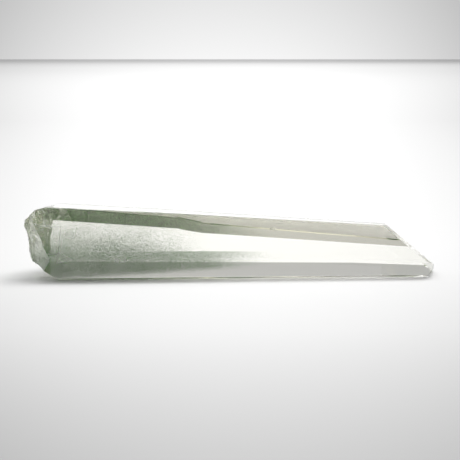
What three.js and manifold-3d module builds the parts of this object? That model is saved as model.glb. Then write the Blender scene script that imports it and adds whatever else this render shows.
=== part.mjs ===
// A chlorite quartz point: one clear crystal, snapped off its matrix at the left end and lying on
// one of its six prism faces, with a single large termination face at the right end.
// Millimetres, +X along the crystal towards the point, +Y to the back, +Z up.
// The faces are stated about the crystal's own c-axis (the local X axis), and the finished crystal
// is then laid down on its bottom face, with the table at z = 0.
import * as THREE from 'three';
import { mergeVertices } from 'three/addons/utils/BufferGeometryUtils.js';
import Module from 'manifold-3d';

const wasm = await Module();
wasm.setup();

// ---------------------------------------------------------------- driving dimensions
const blankSize = 130; // the block that the faces are cut from
const weldDistance = 1e-5; // corners closer than this are one corner

// around: where a face points, in degrees round the c-axis (0 to the back, 90 up)
// distance: from the axis at mid-length; taper: how many degrees it leans in towards the point
const prismFaces = {
  top: { around: 90, distance: 5.88, taper: 2.35 },
  frontUpper: { around: 150, distance: 4.42, taper: 1.8 },
  frontLower: { around: 210, distance: 6.4, taper: 2.2 },
  bottom: { around: 270, distance: 5.88, taper: 1.2 },
  backLower: { around: 330, distance: 5.36, taper: 1.0 },
  backUpper: { around: 30, distance: 5.46, taper: 3.05 },
};

// Towards the break the top bends down a little: a second, flatter growth of the same face
const shoulder = { around: 90, distance: 5.95, taper: 1.84 };

const rhombohedronAngle = 38.2; // between a termination face and the c-axis, as in all quartz
// distance: from the middle of the crystal, measured square to the face
const terminationFaces = {
  main: { around: 90, lean: rhombohedronAngle, distance: 22.33 },
  tipFront: { around: 225, lean: 62, distance: 36.4 },
  tipBlunt: { around: 85, lean: 60, distance: 33.05 },
};

const wornEdge = 0.07; // how deep the long edges are rubbed down
const frontFacet = 0.28; // how deep the narrow facet along the main face's front edge is cut
const middleFacet = 0.14; // the one between the two front faces
const footFacet = 0.22; // and the one along the front foot, where the crystal lies on the table

// A growth step: towards the point the face lies this much deeper, down a gentle riser
const growthStep = { face: 'backUpper', start: -6.2, depth: 0.09, riserLean: 5 };

// The break: flats, each through a point and facing the given way (in the crystal's own frame)
const breakFlats = [
  { point: [-35.4, -4.9, 7.35], facing: [-0.25, 0.09, 0.96] },
  { point: [-40.0, -2.0, 4.2], facing: [-0.7, 0.0, 0.71] },
  { point: [-40.0, -2.0, 4.2], facing: [-0.67, -0.74, 0.02] },
  { point: [-37.0, -7.6, -2.0], facing: [-0.95, -0.31, -0.16] },
  { point: [-37.5, -7.9, -2.8], facing: [-0.57, -0.13, -0.81] },
  { point: [-35.5, -6.5, -5.3], facing: [-0.44, -0.13, -0.89] },
  { point: [-39.4, -1.0, -1.0], facing: [-0.88, 0.45, -0.14] },
];

// Conchoidal scars: shallow rippled bowls struck into the break at (y, z), seen end on
const scars = [
  { at: [-5.0, 1.6], radius: 1.4, depth: 0.22, ripples: 2 },
  { at: [-1.4, 0.8], radius: 2.2, depth: 0.45, ripples: 3 },
  { at: [-3.4, 5.6], radius: 1.5, depth: 0.3, ripples: 1 },
  { at: [0.2, 6.2], radius: 2.6, depth: 0.5, ripples: 3 },
  { at: [3.0, 3.4], radius: 4.0, depth: 0.8, ripples: 4 },
  { at: [2.4, -1.4], radius: 2.8, depth: 0.5, ripples: 3 },
  { at: [3.6, -3.8], radius: 3.0, depth: 0.7, ripples: 3 },
  { at: [-2.0, -4.8], radius: 2.4, depth: 0.4, ripples: 2 },
];
// each ring of a scar's bowl: how high its ripple is, as a share of the bowl's depth
const rippleHeight = 0.12;
const pointsPerRing = 4; // along the bowl's profile
const sides = { plain: 11, rippled: 26 }; // round a bowl
// a bowl's cutter goes on above the surface: this many depths up, opening to this many radii
const cutterRise = 4;
const cutterFlare = 1.6;

// Hackles: small bowls all over the break, laid out like the seeds of a sunflower
const hackles = { count: 44, spread: 7.2, smallest: 0.5, largest: 1.2, depthRatio: 0.18 };
const goldenAngle = Math.PI * (3 - Math.sqrt(5));

// A shallow scar with sloping sides that the break left on the front upper face
const ledge = { left: -42.0, right: -32.7, low: -1.2, high: 4.1, depth: 0.2, lean: -1 };

// A flake off the front edge, thickest at its left end: on the upper face, on the edge, below it
const flake = { above: [-32.9, -6.7, -0.6], edge: [-28.3, -7.5, -2.1], below: [-32.6, -7.2, -2.9] };

// A blow that only bit on one side leaves a crescent on the front upper face, at (x, z)
const crescent = { at: [-30.9, 2.3], radius: 0.9, depth: 0.12, tilt: 10 };

// Nicks on the edges: between which faces, where along the crystal, how wide and how deep
const nicks = [
  { edge: ['frontUpper', 'frontLower'], along: -34.8, radius: 1.3, depth: 0.2 },
  { edge: ['frontUpper', 'frontLower'], along: -21.5, radius: 0.6, depth: 0.24 },
  { edge: ['frontUpper', 'frontLower'], along: -20.4, radius: 0.8, depth: 0.27 },
  { edge: ['backUpper', 'backLower'], along: 21.0, radius: 0.6, depth: 0.2 },
  { edge: ['top', 'backUpper'], along: -24.0, radius: 0.8, depth: 0.15 },
  { edge: ['top', 'frontUpper'], along: -33.4, radius: 1.0, depth: 0.2 },
  { edge: ['backLower', 'bottom'], along: 8.0, radius: 0.9, depth: 0.25 },
  { edge: ['main', 'frontUpper'], along: 34.9, radius: 0.9, depth: 0.5 },
  { edge: ['main', 'backLower'], along: 38.6, radius: 0.6, depth: 0.2 },
];

// ---------------------------------------------------------------- small helpers
const radians = THREE.MathUtils.degToRad;
const vector = (list) => new THREE.Vector3(...list);

function faceNormal({ around, taper, lean }) {
  const tilt = radians(taper ?? lean);
  const turn = radians(around);
  return new THREE.Vector3(
    Math.sin(tilt),
    Math.cos(tilt) * Math.cos(turn),
    Math.cos(tilt) * Math.sin(turn),
  );
}

function facePlane(face) {
  const across = face.taper === undefined ? 1 : Math.cos(radians(face.taper));
  return { normal: faceNormal(face), offset: face.distance * across };
}

function solidFrom(geometry) {
  const bare = geometry.clone();
  bare.deleteAttribute('normal');
  bare.deleteAttribute('uv');
  const merged = mergeVertices(bare, weldDistance);
  return new wasm.Manifold(new wasm.Mesh({
    numProp: 3,
    vertProperties: new Float32Array(merged.attributes.position.array),
    triVerts: new Uint32Array(merged.index.array),
  }));
}

// Turns a geometry's +Z to a direction and moves its origin to a point
function place(geometry, point, direction) {
  const turn = new THREE.Quaternion().setFromUnitVectors(
    new THREE.Vector3(0, 0, 1),
    direction.clone().normalize(),
  );
  return geometry.applyQuaternion(turn).translate(point.x, point.y, point.z);
}

// A block big enough to stand for everything above z = 0
function halfSpace() {
  return new THREE.BoxGeometry(2 * blankSize, 2 * blankSize, blankSize).translate(0, 0, blankSize / 2);
}

function cutFlat(solid, { normal, offset }) {
  const waste = place(halfSpace(), normal.clone().multiplyScalar(offset), normal);
  return solid.subtract(solidFrom(waste));
}

// The flat that takes off the edge between two faces
function bevelPlane(faceA, faceB, inset) {
  const a = facePlane(faceA);
  const b = facePlane(faceB);
  const normal = a.normal.clone().add(b.normal);
  const length = normal.length();
  return { normal: normal.divideScalar(length), offset: (a.offset + b.offset) / length - inset };
}

// A shallow bowl, open towards +Z, with faint rings: what one blow leaves in quartz
function bowl(radius, depth, ripples) {
  const points = pointsPerRing * ripples;
  const profile = [];
  for (let i = 0; i <= points; i += 1) {
    const out = i / points;
    const ring = rippleHeight * Math.sin(2 * Math.PI * out * ripples) * out;
    profile.push(new THREE.Vector2(radius * out, depth * (out * out - 1 + ring)));
  }
  profile.push(new THREE.Vector2(radius * cutterFlare, depth * cutterRise));
  profile.push(new THREE.Vector2(0, depth * cutterRise));
  const around = ripples > 1 ? sides.rippled : sides.plain;
  return new THREE.LatheGeometry(profile, around).rotateX(Math.PI / 2);
}

// Where two faces meet, at a given distance along the crystal
function edgePoint(a, b, along) {
  const flats = [a, b, { normal: new THREE.Vector3(1, 0, 0), offset: along }];
  const rows = new THREE.Matrix3().set(...flats.flatMap(({ normal }) => normal.toArray()));
  return vector(flats.map(({ offset }) => offset)).applyMatrix3(rows.invert());
}

// The point of a plane at (x, z)
function pointOn({ normal, offset }, x, z) {
  return new THREE.Vector3(x, (offset - normal.x * x - normal.z * z) / normal.y, z);
}

// ---------------------------------------------------------------- the grown crystal
const faces = { ...prismFaces, shoulder, ...terminationFaces };

function grownCrystal() {
  let crystal = solidFrom(new THREE.BoxGeometry(blankSize, blankSize / 2, blankSize / 2));
  for (const face of Object.values(faces)) crystal = cutFlat(crystal, facePlane(face));
  const ring = Object.values(prismFaces);
  const edges = ring.map((face, i) => [face, ring[(i + 1) % ring.length]]);
  edges.push([shoulder, faces.frontUpper], [shoulder, faces.backUpper]);
  for (const [a, b] of edges) crystal = cutFlat(crystal, bevelPlane(a, b, wornEdge));
  crystal = cutFlat(crystal, bevelPlane(faces.frontUpper, faces.frontLower, middleFacet));
  crystal = cutFlat(crystal, bevelPlane(faces.frontLower, faces.bottom, footFacet));
  return cutFlat(crystal, bevelPlane(faces.main, faces.frontUpper, frontFacet));
}

function cutGrowthStep(crystal) {
  const { normal, offset } = facePlane(faces[growthStep.face]);
  const foot = normal.clone().multiplyScalar(offset - growthStep.depth);
  foot.x += growthStep.start;
  const lean = radians(growthStep.riserLean);
  const riser = normal.clone().multiplyScalar(Math.cos(lean));
  riser.x += Math.sin(lean);
  const above = solidFrom(place(halfSpace(), foot, normal));
  return crystal.subtract(above.intersect(solidFrom(place(halfSpace(), foot, riser))));
}

// ---------------------------------------------------------------- the break
// Where the break lies at (y, z), and which way it faces there
function breakSurface(y, z) {
  const hits = breakFlats.map(({ point, facing }) => {
    const [nx, ny, nz] = facing;
    const x = point[0] - (ny * (y - point[1]) + nz * (z - point[2])) / nx;
    return { point: new THREE.Vector3(x, y, z), facing: vector(facing) };
  });
  return hits.reduce((best, hit) => (hit.point.x > best.point.x ? hit : best));
}

function strike(crystal, [y, z], radius, depth, ripples) {
  const { point, facing } = breakSurface(y, z);
  return crystal.subtract(solidFrom(place(bowl(radius, depth, ripples), point, facing)));
}

function breakOff(whole) {
  let crystal = whole;
  for (const { point, facing } of breakFlats) {
    const normal = vector(facing).normalize();
    crystal = cutFlat(crystal, { normal, offset: normal.dot(vector(point)) });
  }
  for (const { at, radius, depth, ripples } of scars) {
    crystal = strike(crystal, at, radius, depth, ripples);
  }
  const { count, spread, smallest, largest, depthRatio } = hackles;
  for (let i = 0; i < count; i += 1) {
    const out = spread * Math.sqrt((i + 0.5) / count);
    const turn = i * goldenAngle;
    const radius = THREE.MathUtils.lerp(smallest, largest, (Math.sin(5 * turn) + 1) / 2);
    crystal = strike(crystal, [out * Math.cos(turn), out * Math.sin(turn)], radius, radius * depthRatio, 1);
  }
  return crystal;
}

// The shallow scar is cut by a block whose sides slope outwards at 45 degrees
function cutLedge(crystal) {
  const plane = facePlane(faces.frontUpper);
  const rise = cutterRise * ledge.depth;
  const block = new THREE.BoxGeometry(ledge.right - ledge.left, ledge.high - ledge.low, rise);
  const corners = block.attributes.position;
  for (let i = 0; i < corners.count; i += 1) {
    if (corners.getZ(i) < 0) continue;
    const x = corners.getX(i);
    const y = corners.getY(i);
    corners.setXY(i, x + Math.sign(x) * rise, y + Math.sign(y) * rise);
  }
  block.translate(0, 0, rise / 2 - ledge.depth);
  const middle = pointOn(plane, (ledge.left + ledge.right) / 2, (ledge.low + ledge.high) / 2);
  const facing = plane.normal.clone().applyAxisAngle(new THREE.Vector3(0, 0, 1), radians(-ledge.lean));
  return crystal.subtract(solidFrom(place(block, middle, facing)));
}

// The flake is cut by a block lying on the three points, its end standing on the thick end
function cutFlake(crystal) {
  const [above, edge, below] = [flake.above, flake.edge, flake.below].map(vector);
  const thickEnd = above.clone().add(below).divideScalar(2);
  const along = edge.clone().sub(thickEnd);
  const across = above.clone().sub(below);
  const outwards = along.clone().cross(across).normalize();
  const sideways = outwards.clone().cross(along).normalize();
  const length = along.length();
  const block = new THREE.BoxGeometry(2 * length, 4 * across.length(), length);
  block.translate(length, 0, length / 2);
  const turn = new THREE.Matrix4().makeBasis(along.divideScalar(length), sideways, outwards);
  block.applyMatrix4(turn.setPosition(thickEnd));
  return crystal.subtract(solidFrom(block));
}

// ---------------------------------------------------------------- wear
function cutNicks(whole) {
  let crystal = whole;
  for (const { edge, along, radius, depth } of nicks) {
    const [a, b] = edge.map((name) => facePlane(faces[name]));
    const facing = a.normal.clone().add(b.normal);
    const nick = place(bowl(radius, depth, 1), edgePoint(a, b, along), facing);
    crystal = crystal.subtract(solidFrom(nick));
  }
  return crystal;
}

function cutCrescent(crystal) {
  const plane = facePlane(faces.frontUpper);
  const facing = plane.normal.clone().applyAxisAngle(new THREE.Vector3(0, 0, 1), radians(crescent.tilt));
  const dent = place(bowl(crescent.radius, crescent.depth, 1), pointOn(plane, ...crescent.at), facing);
  return crystal.subtract(solidFrom(dent));
}

// ---------------------------------------------------------------- the part
function meshGeometry(solid) {
  const { vertProperties, triVerts } = solid.getMesh();
  const geometry = new THREE.BufferGeometry();
  geometry.setAttribute('position', new THREE.BufferAttribute(new Float32Array(vertProperties), 3));
  geometry.setIndex(new THREE.BufferAttribute(new Uint32Array(triVerts), 1));
  return geometry;
}

// Lays the crystal down on its bottom face, the middle of its box over the origin
function layDown(geometry) {
  geometry.rotateY(radians(prismFaces.bottom.taper));
  geometry.computeBoundingBox();
  const { min, max } = geometry.boundingBox;
  geometry.translate(-(min.x + max.x) / 2, -(min.y + max.y) / 2, -min.z);
  geometry.computeVertexNormals();
  return geometry;
}

const steps = [cutGrowthStep, breakOff, cutLedge, cutFlake, cutNicks, cutCrescent];
const solid = steps.reduce((crystal, step) => step(crystal), grownCrystal());

const quartz = new THREE.MeshStandardMaterial({ color: 0xd3dacd, roughness: 0.05, metalness: 0 });
const crystal = new THREE.Mesh(layDown(meshGeometry(solid)), quartz);
crystal.name = 'quartz_crystal';

const chloriteQuartz = new THREE.Group();
chloriteQuartz.add(crystal);
export default chloriteQuartz;
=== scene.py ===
import math
import random

import bmesh
import bpy
from mathutils import Matrix, Vector, noise
from mathutils.bvhtree import BVHTree


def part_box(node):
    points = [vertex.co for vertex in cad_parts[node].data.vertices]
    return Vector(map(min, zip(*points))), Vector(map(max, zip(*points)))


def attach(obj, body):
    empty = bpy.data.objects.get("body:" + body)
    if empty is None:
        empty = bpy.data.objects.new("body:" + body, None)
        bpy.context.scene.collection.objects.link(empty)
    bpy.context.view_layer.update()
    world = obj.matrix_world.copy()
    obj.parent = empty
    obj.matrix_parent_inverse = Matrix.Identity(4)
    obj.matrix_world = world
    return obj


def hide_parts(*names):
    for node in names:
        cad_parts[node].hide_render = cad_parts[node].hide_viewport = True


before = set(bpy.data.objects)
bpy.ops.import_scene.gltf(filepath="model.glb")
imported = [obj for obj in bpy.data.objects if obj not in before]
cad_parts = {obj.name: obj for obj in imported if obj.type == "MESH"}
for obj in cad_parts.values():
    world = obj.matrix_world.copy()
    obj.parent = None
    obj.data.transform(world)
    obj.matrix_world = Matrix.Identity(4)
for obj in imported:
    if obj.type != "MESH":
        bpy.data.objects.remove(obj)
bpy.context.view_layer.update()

mm = 0.001
low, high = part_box("quartz_crystal")
scene = bpy.context.scene
scene.view_settings.view_transform = "Standard"


def linear(hexColour):  # sRGB hex to the linear values that a node takes
    channels = [int(hexColour[i:i + 2], 16) / 255 for i in (1, 3, 5)]
    return [c / 12.92 if c <= 0.04045 else ((c + 0.055) / 1.055) ** 2.4 for c in channels] + [1.0]


def addNode(tree, kind, settings=None, inputs=None, links=None):
    node = tree.nodes.new(kind)
    for name, value in (settings or {}).items():
        setattr(node, name, value)
    for name, value in (inputs or {}).items():
        node.inputs[name].default_value = value
    for name, source in (links or {}).items():
        tree.links.new(source, node.inputs[name])
    return node


def setStops(ramp, stops):  # stops: place from 0 to 1, whiteness
    elements = ramp.color_ramp.elements
    while len(elements) > 1:
        elements.remove(elements[-1])
    for number, (position, value) in enumerate(stops):
        element = elements[0] if number == 0 else elements.new(position)
        element.position = position
        element.color = (value, value, value, 1)


def newMaterial(name):
    material = bpy.data.materials.new(name)
    material.use_nodes = True
    material.node_tree.nodes.clear()
    return material, material.node_tree


def newPiece(name, bm, material):
    mesh = bpy.data.meshes.new(name)
    bm.to_mesh(mesh)
    bm.free()
    piece = bpy.data.objects.new(name, mesh)
    scene.collection.objects.link(piece)
    mesh.materials.append(material)
    return piece


def smooth(value):  # 0 to 1, eased at both ends
    value = max(0.0, min(1.0, value))
    return value * value * (3 - 2 * value)


crystalLook = {
    "ior": 1.544,
    "tint": "#E7E2AA",
    "tintDensity": 15.0,  # per metre of path
    "swellSize": 6 * mm,  # how far apart the swells of the grown faces are
    "swellDepth": 0.3 * mm,
    "swellStrength": 0.04,
    "frost": 0.28,  # roughness of the break, the flakes and the worn edges
    "crumpleSize": 1.0 * mm,
    "crumpleDepth": 0.6 * mm,
    "crumpleStrength": 0.9,
    "smallestFace": 10 * mm * mm,  # a grown face has at least this area
    "sliver": 1e-3 * mm * mm,  # and a facet under this one is left clear
    "flatness": math.cos(math.radians(1.5)),  # facets this near a grown face's way are part of it
    "breakWay": -0.15,  # the flats of the break face more to the left than this
    "breakReach": 6 * mm,
    "softening": 4,  # rounds of smoothing: no ripple of a break is as even as a cut bowl
    "softeningFactor": 0.5,
    "weld": 1e-4 * mm,
}


# Rock crystal, grown from hot water: glass clear, faintly olive with depth, its own faces glossy and
# very slightly uneven. Where it broke or was chipped it is crumpled and satin.
def quartzMaterial():
    look = crystalLook
    quartz, tree = newMaterial("quartz")
    place = addNode(tree, "ShaderNodeTexCoord")
    swells = addNode(tree, "ShaderNodeTexNoise",
                     inputs={"Scale": 1 / look["swellSize"], "Detail": 2.0, "Roughness": 0.5},
                     links={"Vector": place.outputs["Object"]})
    swollen = addNode(tree, "ShaderNodeBump",
                      inputs={"Strength": look["swellStrength"], "Distance": look["swellDepth"]},
                      links={"Height": swells.outputs["Fac"]})
    broken = addNode(tree, "ShaderNodeAttribute", {"attribute_name": "broken"})  # 1 on the break
    crumples = addNode(tree, "ShaderNodeTexNoise",
                       inputs={"Scale": 1 / look["crumpleSize"], "Detail": 4.0},
                       links={"Vector": place.outputs["Object"]})
    crumpling = addNode(tree, "ShaderNodeMath", {"operation": "MULTIPLY"},
                        inputs={1: look["crumpleStrength"]}, links={0: broken.outputs["Fac"]})
    crumpled = addNode(tree, "ShaderNodeBump", inputs={"Distance": look["crumpleDepth"]},
                       links={"Height": crumples.outputs["Fac"], "Strength": crumpling.outputs[0],
                              "Normal": swollen.outputs["Normal"]})
    frost = addNode(tree, "ShaderNodeMath", {"operation": "MULTIPLY"}, inputs={1: look["frost"]},
                    links={0: broken.outputs["Fac"]})
    body = addNode(tree, "ShaderNodeBsdfPrincipled",
                   inputs={"Base Color": (1, 1, 1, 1), "IOR": look["ior"], "Transmission Weight": 1.0},
                   links={"Normal": crumpled.outputs["Normal"], "Roughness": frost.outputs[0]})
    depth = addNode(tree, "ShaderNodeVolumeAbsorption",
                    inputs={"Color": linear(look["tint"]), "Density": look["tintDensity"]})
    addNode(tree, "ShaderNodeOutputMaterial",
            links={"Surface": body.outputs[0], "Volume": depth.outputs[0]})
    return quartz


def markBroken(bm):  # what isn't part of a grown face is 1 in the attribute "broken"
    areas = {}  # of the facets that look one way
    for face in bm.faces:
        way = tuple(round(part, 2) for part in face.normal)
        areas[way] = areas.get(way, 0.0) + face.calc_area()
    grown = [Vector(way).normalized() for way, area in areas.items()
             if area > crystalLook["smallestFace"] and way[0] > crystalLook["breakWay"]]
    broken = bm.faces.layers.float.new("broken")
    for face in bm.faces:
        onFace = any(face.normal.dot(way) > crystalLook["flatness"] for way in grown)
        face[broken] = 0.0 if onFace or face.calc_area() < crystalLook["sliver"] else 1.0
    return broken


def softenBreak(bm, broken):
    onBreak = [corner for corner in bm.verts
               if corner.co.x < low.x + crystalLook["breakReach"]
               and all(face[broken] for face in corner.link_faces)]
    for _ in range(crystalLook["softening"]):
        bmesh.ops.smooth_vert(bm, verts=onBreak, factor=crystalLook["softeningFactor"],
                              use_axis_x=True, use_axis_y=True, use_axis_z=True)
    for corner in onBreak:  # none leaves the crystal's box
        corner.co = [min(max(value, least), most) for value, least, most in zip(corner.co, low, high)]


bm = bmesh.new()
bm.from_mesh(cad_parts["quartz_crystal"].data)
bmesh.ops.remove_doubles(bm, verts=bm.verts, dist=crystalLook["weld"])
bmesh.ops.recalc_face_normals(bm, faces=bm.faces)
for face in bm.faces:
    face.smooth = False
softenBreak(bm, markBroken(bm))
crystal = newPiece("crystal", bm, quartzMaterial())
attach(crystal, "root")
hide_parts("quartz_crystal")
print("crystal", len(crystal.data.polygons))


# The dust lies in a bed along the front foot, with a thinner haze above it, and both fade towards
# the point.
dust = {
    "seed": 11,
    "pieces": 5,
    "count": 46000,  # grains in a piece
    "size": (0.02 * mm, 0.058 * mm),  # real scales are finer; these are as coarse as they need to show
    "thickness": 0.3,  # of a grain's size
    "colour": "#789F6A",
    "skin": 0.15 * mm,  # clear quartz left outside it
    "reach": 50 * mm,  # how far from the broken end it goes
    "fade": 22 * mm,
    "top": (3.92 * mm, 0.304),  # the bed's top: height in the middle, and how much it falls to the back
    "topEdge": 0.4 * mm,
    "foot": (0.1 * mm, 0.07),  # and its foot: height at the broken end, and its climb to the point
    "footEdge": 1.6 * mm,
    "bed": 1.15,
    "bedDepth": (6 * mm, 1.8 * mm),  # full this far from the front, then how fast it thins
    "haze": 1.15,
    "hazeDepth": (5 * mm, 2.6 * mm),
    "hazeHeight": 5.0 * mm,
    "hazeReach": 37 * mm,
    "hazeFade": 20 * mm,
    "clearEnd": 7 * mm,  # next to the break the haze is down to a half
    "cloudSize": 4 * mm,
    "cloud": (0.85, 0.28),  # mean share and how much it varies
    "streak": 7 * mm,  # how much further the bed's streaks go
    "streakSize": (14 * mm, 1.5 * mm, 0.5 * mm),
}


# Chlorite, a soft mica-like mineral: dull green scales that the quartz grew over, seen as a matt haze
def chloriteMaterial():
    chlorite, tree = newMaterial("chlorite")
    skin = addNode(tree, "ShaderNodeBsdfPrincipled",
                   inputs={"Base Color": linear(dust["colour"]), "Roughness": 0.8, "IOR": 1.6})
    addNode(tree, "ShaderNodeOutputMaterial", links={"Surface": skin.outputs[0]})
    return chlorite


def thinning(point, depths):  # towards the back
    full, fall = depths
    return max(0.0, point.y - low.y - full) / fall


def share(point):  # how likely a grain is to be at a point
    along = point.x - low.x
    above = point.z + dust["top"][1] * point.y - dust["top"][0]
    foot = dust["foot"][0] + dust["foot"][1] * along
    mean, varies = dust["cloud"]
    cloud = mean + varies * noise.fractal(point / dust["cloudSize"], 0.9, 2.0, 3)
    bed = smooth(0.5 - above / dust["topEdge"]) * smooth(0.5 + (point.z - foot) / dust["footEdge"])
    streaks = Vector([value / size for value, size in zip(point, dust["streakSize"])])
    streak = dust["streak"] * noise.noise(streaks)
    bed *= smooth((dust["reach"] + streak - along) / dust["fade"])
    bed *= dust["bed"] * math.exp(-thinning(point, dust["bedDepth"]))
    haze = dust["haze"] * math.exp(-max(0.0, above) / dust["hazeHeight"] - thinning(point, dust["hazeDepth"]))
    haze *= smooth((dust["hazeReach"] - along) / dust["hazeFade"])
    haze *= 0.5 + 0.5 * smooth(along / dust["clearEnd"])
    return min(1.0, max(0.0, cloud)) * (bed if above < 0 else max(bed, haze))


quartzSurface = BVHTree.FromObject(crystal, bpy.context.evaluated_depsgraph_get())


def inside(point, margin):  # from inside, the first face straight above is met from behind
    up = Vector((0, 0, 1))
    _, outwards, _, _ = quartzSurface.ray_cast(point, up)
    if outwards is None or outwards.dot(up) <= 0:
        return False
    return quartzSurface.find_nearest(point)[3] > margin


def grainShape():  # a three-sided scale with a raised middle
    bm = bmesh.new()
    bmesh.ops.create_cone(bm, cap_ends=True, segments=3, radius1=1, radius2=0, depth=1.2)
    mesh = bpy.data.meshes.new("scale")
    bm.to_mesh(mesh)
    bm.free()
    return mesh


def scatter(scale, count):
    bm = bmesh.new()
    made = 0
    while made < count:
        point = Vector((random.uniform(low.x, low.x + dust["reach"]), random.uniform(low.y, high.y),
                        random.uniform(low.z, high.z)))
        if random.random() > share(point) or not inside(point, dust["skin"]):
            continue
        size = random.uniform(*dust["size"])
        spin = Vector((random.gauss(0, 1), random.gauss(0, 1), random.gauss(0, 1)))
        at = (Matrix.Translation(point) @ Matrix.Rotation(random.uniform(0, math.tau), 4, spin)
              @ Matrix.Diagonal((size, size, size * dust["thickness"], 1)))
        scale.transform(at)
        bm.from_mesh(scale)
        scale.transform(at.inverted())
        made += 1
    return bm


random.seed(dust["seed"])
chlorite = chloriteMaterial()
scale = grainShape()
for batch in range(dust["pieces"]):
    grains = newPiece(f"chlorite_{batch}", scatter(scale, dust["count"]), chlorite)
    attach(grains, "root")
    print("chlorite", batch, len(grains.data.polygons))
bpy.data.meshes.remove(scale)


studio = {
    "boardPaintedShade": ((-900, 0.70), (-300, 0.42), (-120, 0.37), (-94, 0.475), (-42, 0.69), (0, 0.80),
              (30, 0.82)),  # mm to the back, whiteness: painted shade, the board painted darker in front of the crystal
    "boardRadius": 60.0,
    "boardDrop": 0.02 * mm,  # below the crystal's resting face
    "boardFarPaintedShade": 0.88,  # times as white far away: painted shade of the light falling off with distance
    "farFrom": 700 * mm,
    "farTo": 3600 * mm,
    "sidesMiddle": 0.01,  # the board is painted greyer (painted shade) and the sky is greyer to the sides of this direction
    "sidesFrom": 207 * mm,  # in front of the crystal, where the directions on the board start
    "sidesMost": 0.056,  # the widest direction, squared, that goes on getting greyer
    "sidesFadeIn": (-135 * mm, -104 * mm),  # no greyer nearer than this
    "paintedSideShadeFront": 2.8,
    "paintedSideShadeBack": 5.5,
    "sidesDepth": 500 * mm,
    "skyBack": ((0, 0.93), (3.2, 0.80), (6, 0.9), (9, 1.6), (14, 1.5), (20, 0.9), (27, 0.54), (40, 0.50),
                (50, 0.7), (60, 1.4), (90, 1.4)),  # elevation in degrees, brightness
    "skyFront": ((0, 0.42), (8, 0.26), (36, 0.26), (45, 0.54), (55, 0.57), (64, 1.4), (90, 1.4)),
    "skyBlend": 0.3,  # how far either way from the middle the back sky turns into the front one
    "skySide": -0.9,  # in front, this much brighter to the left
    "skySidesFall": 7.0,  # low down the sky gets greyer to the sides
    "skySidesTop": (math.radians(4), math.radians(15)),  # and less so from here up to here
    "skySidesLeast": 0.5,
    "keyAzimuth": 132,  # degrees round from the front, by the right
    "keyElevation": 63,
    "keyDistance": 10000 * mm,
    "keyRadius": 3500 * mm,
    "keyPower": 725.0,
}


# Matt white board, laid under soft light: evenly dull, its colour painted greyer towards the viewer, far away
# and to the sides as painted shade
def paintedShadeBoardMaterial():
    boardPaintedShade, tree = newMaterial("boardPaintedShade")
    place = addNode(tree, "ShaderNodeTexCoord")
    spot = addNode(tree, "ShaderNodeSeparateXYZ", links={0: place.outputs["Object"]})
    start, end = studio["boardPaintedShade"][0][0], studio["boardPaintedShade"][-1][0]
    graded = addNode(tree, "ShaderNodeMapRange", inputs={"From Min": start * mm, "From Max": end * mm},
                     links={"Value": spot.outputs["Y"]})
    # painted shade: this whiteness ramp darkens the board towards the viewer in place of the light falling
    # off
    whiteness = addNode(tree, "ShaderNodeValToRGB", links={"Fac": graded.outputs[0]})
    setStops(whiteness, [((where - start) / (end - start), value) for where, value in studio["boardPaintedShade"]])
    reach = addNode(tree, "ShaderNodeVectorMath", {"operation": "LENGTH"},
                    links={0: place.outputs["Object"]})
    # painted shade: the board painted greyer far away
    far = addNode(tree, "ShaderNodeMapRange", {"interpolation_type": "SMOOTHSTEP"},
                  inputs={"From Min": studio["farFrom"], "From Max": studio["farTo"],
                          "To Min": 1.0, "To Max": studio["boardFarPaintedShade"]},
                  links={"Value": reach.outputs["Value"]})
    # painted shade: the board painted greyer to the sides
    away = addNode(tree, "ShaderNodeMath", {"operation": "ADD"}, inputs={1: studio["sidesFrom"]},
                   links={0: spot.outputs["Y"]})
    sideways = addNode(tree, "ShaderNodeMath", {"operation": "DIVIDE"},
                       links={0: spot.outputs["X"], 1: away.outputs[0]})
    offMiddle = addNode(tree, "ShaderNodeMath", {"operation": "SUBTRACT"},
                        inputs={1: studio["sidesMiddle"]}, links={0: sideways.outputs[0]})
    squared = addNode(tree, "ShaderNodeMath", {"operation": "MULTIPLY"},
                      links={0: offMiddle.outputs[0], 1: offMiddle.outputs[0]})
    capped = addNode(tree, "ShaderNodeMath", {"operation": "MINIMUM"},
                     inputs={1: studio["sidesMost"]}, links={0: squared.outputs[0]})
    fadeStart, fadeEnd = studio["sidesFadeIn"]
    fadeIn = addNode(tree, "ShaderNodeMapRange", {"interpolation_type": "SMOOTHSTEP"},
                     inputs={"From Min": fadeStart, "From Max": fadeEnd},
                     links={"Value": spot.outputs["Y"]})
    faded = addNode(tree, "ShaderNodeMath", {"operation": "MULTIPLY"},
                    links={0: capped.outputs[0], 1: fadeIn.outputs[0]})
    amount = addNode(tree, "ShaderNodeMapRange",
                     inputs={"From Min": 0.0, "From Max": studio["sidesDepth"],
                             "To Min": -studio["paintedSideShadeFront"], "To Max": -studio["paintedSideShadeBack"]},
                     links={"Value": spot.outputs["Y"]})
    sides = addNode(tree, "ShaderNodeMath", {"operation": "MULTIPLY_ADD"}, inputs={2: 1.0},
                    links={0: faded.outputs[0], 1: amount.outputs[0]})
    kept = addNode(tree, "ShaderNodeMath", {"operation": "MULTIPLY"},
                   links={0: sides.outputs[0], 1: far.outputs[0]})
    white = addNode(tree, "ShaderNodeVectorMath", {"operation": "MULTIPLY"},
                    links={0: whiteness.outputs[0], 1: kept.outputs[0]})
    matt = addNode(tree, "ShaderNodeBsdfDiffuse", links={"Color": white.outputs[0]})
    addNode(tree, "ShaderNodeOutputMaterial", links={"Surface": matt.outputs[0]})
    return boardPaintedShade


bm = bmesh.new()
bmesh.ops.create_circle(bm, cap_ends=True, segments=96, radius=studio["boardRadius"])
floor = newPiece("floor", bm, paintedShadeBoardMaterial())
floor.location.z = -studio["boardDrop"]


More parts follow.
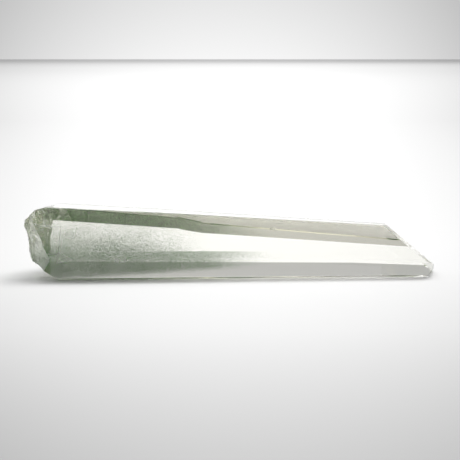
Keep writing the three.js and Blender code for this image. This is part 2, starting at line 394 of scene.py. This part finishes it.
def skyWorld():
    world = bpy.data.worlds.new("studio")
    world.use_nodes = True
    tree = world.node_tree
    tree.nodes.clear()
    direction = addNode(tree, "ShaderNodeTexCoord")
    split = addNode(tree, "ShaderNodeSeparateXYZ", links={0: direction.outputs["Generated"]})
    height = addNode(tree, "ShaderNodeMath", {"operation": "ARCSINE"}, links={0: split.outputs["Z"]})
    climb = addNode(tree, "ShaderNodeMapRange", inputs={"From Min": 0.0, "From Max": math.pi / 2},
                    links={"Value": height.outputs[0]})
    halves = []
    for half in ("skyFront", "skyBack"):
        ramp = addNode(tree, "ShaderNodeValToRGB", links={"Fac": climb.outputs[0]})
        setStops(ramp, [(degrees / 90, value) for degrees, value in studio[half]])
        halves.append(ramp.outputs["Color"])
    blending = {"From Min": -studio["skyBlend"], "From Max": studio["skyBlend"]}
    behind = addNode(tree, "ShaderNodeMapRange", {"interpolation_type": "SMOOTHSTEP"},
                     inputs=blending, links={"Value": split.outputs["Y"]})
    blend = addNode(tree, "ShaderNodeMix", {"data_type": "RGBA"}, links={0: behind.outputs[0]})
    tree.links.new(halves[0], blend.inputs[6])
    tree.links.new(halves[1], blend.inputs[7])
    lean = addNode(tree, "ShaderNodeMapRange", {"interpolation_type": "SMOOTHSTEP"},
                   inputs={**blending, "To Min": studio["skySide"], "To Max": 0.0},
                   links={"Value": split.outputs["Y"]})
    leftward = addNode(tree, "ShaderNodeMath", {"operation": "MULTIPLY_ADD"}, inputs={2: 1.0},
                       links={0: split.outputs["X"], 1: lean.outputs[0]})
    offMiddle = addNode(tree, "ShaderNodeMath", {"operation": "SUBTRACT"},
                        inputs={1: studio["sidesMiddle"]}, links={0: split.outputs["X"]})
    squared = addNode(tree, "ShaderNodeMath", {"operation": "MULTIPLY"},
                      links={0: offMiddle.outputs[0], 1: offMiddle.outputs[0]})
    least, most = studio["skySidesTop"]
    amount = addNode(tree, "ShaderNodeMapRange",
                     inputs={"From Min": least, "From Max": most,
                             "To Min": -studio["skySidesFall"], "To Max": 0.0},
                     links={"Value": height.outputs[0]})
    sides = addNode(tree, "ShaderNodeMath", {"operation": "MULTIPLY_ADD"}, inputs={2: 1.0},
                    links={0: squared.outputs[0], 1: amount.outputs[0]})
    kept = addNode(tree, "ShaderNodeMath", {"operation": "MAXIMUM"},
                   inputs={1: studio["skySidesLeast"]}, links={0: sides.outputs[0]})
    strength = addNode(tree, "ShaderNodeMath", {"operation": "MULTIPLY"},
                       links={0: kept.outputs[0], 1: leftward.outputs[0]})
    glow = addNode(tree, "ShaderNodeBackground",
                   links={"Color": blend.outputs[2], "Strength": strength.outputs[0]})
    addNode(tree, "ShaderNodeOutputWorld", links={"Surface": glow.outputs[0]})
    return world


def keyLight():  # a broad soft light, high up behind the crystal on the right
    turn, climb = math.radians(studio["keyAzimuth"]), math.radians(studio["keyElevation"])
    toKey = Vector((math.sin(turn) * math.cos(climb), -math.cos(turn) * math.cos(climb), math.sin(climb)))
    lamp = bpy.data.lights.new("key", "AREA")
    lamp.shape = "DISK"
    lamp.size = 2 * studio["keyRadius"]
    lamp.energy = studio["keyPower"]
    key = bpy.data.objects.new("key", lamp)
    scene.collection.objects.link(key)
    key.location = toKey * studio["keyDistance"]
    key.rotation_euler = (-toKey).to_track_quat("-Z", "Y").to_euler()


scene.world = skyWorld()
keyLight()
scene.cycles.max_bounces = 24  # enough to follow the light through the crystal
scene.cycles.transmission_bounces = 24
scene.cycles.glossy_bounces = 12
print("studio")


# close up, level with the eye of someone sitting at the table
view = {
    "elevation": 9.5,
    "azimuth": 0.77,
    "distance": 210 * mm,
    "width": 94.3 * mm,  # of what is seen at that distance
    "target": Vector((-0.202, 10.122, 7.13)) * mm,
    "sensor": 36,
}
tilt, turn = math.radians(view["elevation"]), math.radians(view["azimuth"])
forward = Vector((math.sin(turn) * math.cos(tilt), math.cos(turn) * math.cos(tilt), -math.sin(tilt)))
lens = bpy.data.cameras.new("camera")
lens.sensor_width = view["sensor"]
lens.lens = view["sensor"] * view["distance"] / view["width"]
lens.clip_start = 0.01
camera = bpy.data.objects.new("camera", lens)
scene.collection.objects.link(camera)
scene.camera = camera
camera.location = view["target"] - forward * view["distance"]
camera.rotation_euler = forward.to_track_quat("-Z", "Y").to_euler()
print("camera")
